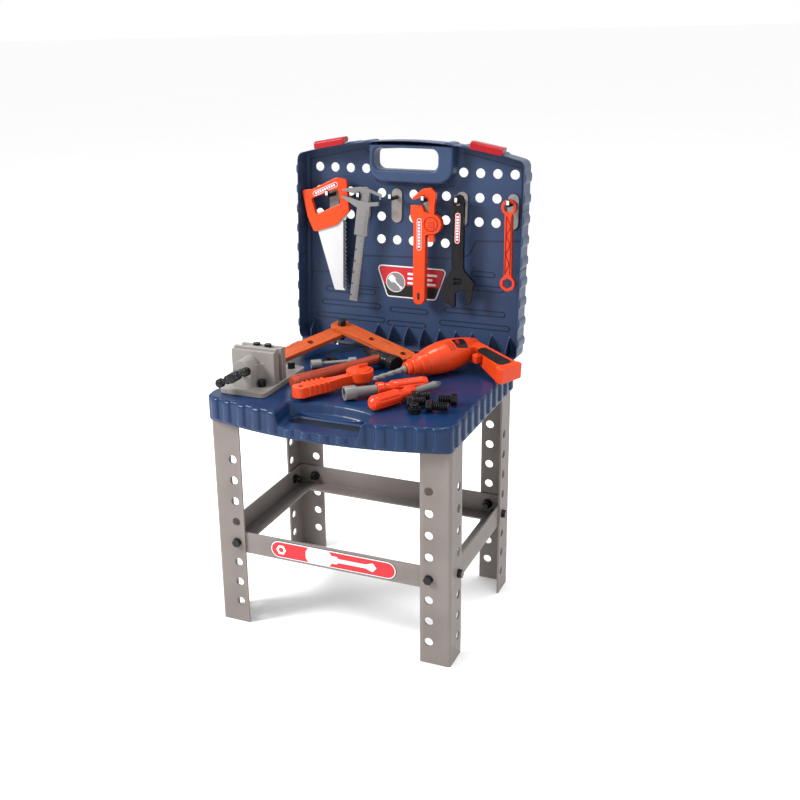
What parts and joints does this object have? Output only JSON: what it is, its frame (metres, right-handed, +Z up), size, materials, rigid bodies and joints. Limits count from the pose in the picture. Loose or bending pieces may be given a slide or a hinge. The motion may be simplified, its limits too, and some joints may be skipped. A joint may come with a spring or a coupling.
{
  "type": "toy workbench",
  "caption": "Child's fold-up workbench: peg-board lid with hanging toy tools, blue table with vise, drill and loose tools, on perforated grey legs joined by rails.",
  "frame": {"origin": "on the floor, under the middle of the whole set's bounding box", "axes": "+Z up, +X to the right of the child at the bench, +Y away from the child towards the lid"},
  "size_m": [0.441, 0.4131, 0.7525],
  "materials": {
    "bench_blue": "smooth glossy blue",
    "lid_navy": "smooth dark blue with a fine grain",
    "leg_grey": "satin warm grey",
    "bolt_black": "satin black",
    "hook_grey": "satin grey",
    "latch_red": "glossy bright red",
    "tool_orange": "glossy orange",
    "tool_red": "glossy red-orange",
    "saw_white": "satin silver white",
    "tool_silver": "silver painted plastic",
    "tool_black": "satin black",
    "wood_orange": "orange-brown with a printed wood grain",
    "vise_grey": "satin warm grey"
  },
  "bodies": {
    "bench": {"bench_top": "bench_blue", "hinge_rod": "tool_silver", "leg_front_left": "leg_grey", "leg_front_right": "leg_grey", "leg_rear_left": "leg_grey", "leg_rear_right": "leg_grey", "rail_front": "leg_grey", "rail_rear": "leg_grey", "rail_left": "leg_grey", "rail_right": "leg_grey", "rail_bolt_front_left": "bolt_black", "rail_bolt_side_front_left": "bolt_black", "rail_bolt_front_right": "bolt_black", "rail_bolt_side_front_right": "bolt_black", "rail_bolt_rear_left": "bolt_black", "rail_bolt_side_rear_left": "bolt_black", "rail_bolt_rear_right": "bolt_black", "rail_bolt_side_rear_right": "bolt_black", "vise_base": "vise_grey", "vise_bolt_front": "bolt_black", "vise_bolt_rear": "bolt_black"},
    "lid": {"lid_panel": "lid_navy", "hook_1": "hook_grey", "hook_2": "hook_grey", "hook_3": "hook_grey", "hook_4": "hook_grey", "hook_5": "hook_grey", "hook_6": "hook_grey"},
    "latch_left": {"latch_left": "latch_red"},
    "latch_right": {"latch_right": "latch_red"},
    "saw": {"saw_handle": "tool_orange", "saw_blade": "saw_white"},
    "caliper": {"caliper_beam": "tool_silver"},
    "caliper_slider": {"caliper_slider": "tool_silver"},
    "pipe_wrench_jaw": {"pipe_wrench_jaw": "tool_orange"},
    "pipe_wrench_body": {"pipe_wrench_body": "tool_orange"},
    "adjustable_wrench": {"adjustable_wrench_body": "tool_black"},
    "adjustable_wrench_jaw": {"adjustable_wrench_jaw": "tool_black"},
    "adjustable_wrench_worm": {"adjustable_wrench_worm": "tool_black"},
    "box_wrench": {"box_wrench": "tool_red"},
    "vise_jaw": {"vise_jaw": "vise_grey"},
    "vise_screw": {"vise_screw": "bolt_black"},
    "plank_lower": {"plank_lower": "wood_orange", "plank_bolt": "bolt_black"},
    "plank_upper": {"plank_upper": "wood_orange"},
    "hammer": {"hammer_handle": "wood_orange", "hammer_head": "tool_black"},
    "ratchet": {"ratchet_body": "tool_orange"},
    "ratchet_drive": {"ratchet_drive": "tool_orange"},
    "nut_driver": {"nut_driver_handle": "tool_red", "nut_driver_socket": "tool_silver"},
    "screwdriver": {"screwdriver_handle": "tool_red", "screwdriver_blade": "tool_silver"},
    "socket_wrench": {"socket_wrench": "tool_silver"},
    "washer": {"washer": "bolt_black"},
    "drill": {"drill_body": "tool_orange"},
    "drill_chuck": {"drill_chuck": "tool_orange", "drill_bit": "tool_silver"},
    "drill_trigger": {"drill_trigger": "tool_orange"},
    "drill_switch": {"drill_switch": "latch_red"}
  },
  "joints": [
    {"name": "lid_hinge", "type": "hinge", "parent": "bench", "child": "lid", "pos_m": [-0.0145, 0.1487, 0.3962], "axis": [1, 0, 0], "range_deg": [0, 35]},
    {"name": "latch_left_hinge", "type": "hinge", "parent": "lid", "child": "latch_left", "pos_m": [-0.1515, 0.17609, 0.7397], "axis": [0.9844, 0.0101, 0.1756], "range_deg": [-42, 0]},
    {"name": "latch_right_hinge", "type": "hinge", "parent": "lid", "child": "latch_right", "pos_m": [0.1245, 0.17607, 0.73934], "axis": [0.984, -0.0103, -0.178], "range_deg": [-42, 0]},
    {"name": "saw_swing", "type": "hinge", "parent": "lid", "child": "saw", "pos_m": [-0.1605, 0.1745, 0.65138], "axis": [0, 0.9983, -0.0576], "range_deg": [-4, 4]},
    {"name": "caliper_swing", "type": "hinge", "parent": "lid", "child": "caliper", "pos_m": [-0.1021, 0.1745, 0.65138], "axis": [0, 0.9983, -0.0576], "range_deg": [-4, 4]},
    {"name": "caliper_slide", "type": "slide", "parent": "caliper", "child": "caliper_slider", "axis": [0.1167, 0.0572, 0.9915], "range_m": [-0.09, 0]},
    {"name": "pipe_wrench_swing", "type": "hinge", "parent": "lid", "child": "pipe_wrench_jaw", "pos_m": [0.0147, 0.1745, 0.65138], "axis": [0, 0.9983, -0.0576], "range_deg": [-4, 4]},
    {"name": "pipe_wrench_thread", "type": "slide", "parent": "pipe_wrench_jaw", "child": "pipe_wrench_body", "axis": [0, 0.0576, 0.9983], "range_m": [-0.015, 0.004]},
    {"name": "adjustable_wrench_swing", "type": "hinge", "parent": "lid", "child": "adjustable_wrench", "pos_m": [0.0731, 0.1745, 0.65138], "axis": [0, 0.9983, -0.0576], "range_deg": [-4, 4]},
    {"name": "adjustable_wrench_worm_spin", "type": "hinge", "parent": "adjustable_wrench", "child": "adjustable_wrench_worm", "pos_m": [0.0775, 0.16643, 0.52013], "axis": [1, 0, 0], "range_deg": [-146, 741]},
    {"name": "adjustable_wrench_jaw_slide", "type": "slide", "parent": "adjustable_wrench", "child": "adjustable_wrench_jaw", "axis": [1, 0, 0], "range_m": [-0.0016, 0.0082]},
    {"name": "box_wrench_swing", "type": "hinge", "parent": "lid", "child": "box_wrench", "pos_m": [0.1607, 0.1745, 0.65138], "axis": [0, 0.9983, -0.0576], "range_deg": [-4, 4]},
    {"name": "vise_jaw_slide", "type": "slide", "parent": "bench", "child": "vise_jaw", "axis": [0, 1, 0], "range_m": [0, 0.0091]},
    {"name": "vise_screw_turn", "type": "hinge", "parent": "vise_jaw", "child": "vise_screw", "pos_m": [-0.1645, -0.1468, 0.43], "axis": [0, -1, 0], "range_deg": [0, 731]},
    {"name": "planks_lift", "type": "slide", "parent": "bench", "child": "plank_lower", "axis": [0, 0, 1], "range_m": [0, 0.015]},
    {"name": "plank_pivot", "type": "hinge", "parent": "plank_lower", "child": "plank_upper", "pos_m": [-0.1185, 0.1232, 0.4372], "axis": [0.1273, -0.1855, 0.9744], "range_deg": [0, 14]},
    {"name": "hammer_pull", "type": "slide", "parent": "bench", "child": "hammer", "axis": [-0.4431, -0.8965, 0], "range_m": [0, 0.015]},
    {"name": "ratchet_lift", "type": "slide", "parent": "bench", "child": "ratchet", "axis": [0, 0, 1], "range_m": [0, 0.015]},
    {"name": "nut_driver_lift", "type": "slide", "parent": "bench", "child": "nut_driver", "axis": [0, 0, 1], "range_m": [0, 0.015]},
    {"name": "screwdriver_lift", "type": "slide", "parent": "bench", "child": "screwdriver", "axis": [0, 0, 1], "range_m": [0, 0.015]},
    {"name": "socket_wrench_lift", "type": "slide", "parent": "bench", "child": "socket_wrench", "axis": [0, 0, 1], "range_m": [0, 0.015]},
    {"name": "washer_lift", "type": "slide", "parent": "bench", "child": "washer", "axis": [0, 0, 1], "range_m": [0, 0.015]},
    {"name": "drill_lift", "type": "slide", "parent": "bench", "child": "drill", "axis": [0, 0, 1], "range_m": [0, 0.015]},
    {"name": "ratchet_drive_spin", "type": "hinge", "parent": "ratchet", "child": "ratchet_drive", "pos_m": [-0.0095, -0.0473, 0.4], "axis": [0, 0, 1], "continuous": true},
    {"name": "drill_chuck_spin", "type": "hinge", "parent": "drill", "child": "drill_chuck", "pos_m": [0.0506, -0.0089, 0.4168], "axis": [0.5066, 0.86, 0.061], "continuous": true},
    {"name": "drill_trigger_press", "type": "slide", "parent": "drill", "child": "drill_trigger", "axis": [0.5066, 0.86, 0.061], "range_m": [0, 0.003], "stiffness_N_per_m": 150},
    {"name": "drill_switch_slide", "type": "slide", "parent": "drill", "child": "drill_switch", "axis": [0.5066, 0.86, 0.061], "range_m": [-0.0024, 0.0064]}
  ],
  "couplings": [
    {"joint": "vise_screw_turn", "follows": "vise_jaw_slide", "rad_per_m": 1396.3},
    {"joint": "adjustable_wrench_worm_spin", "follows": "adjustable_wrench_jaw_slide", "rad_per_m": 1570.8}
  ]
}
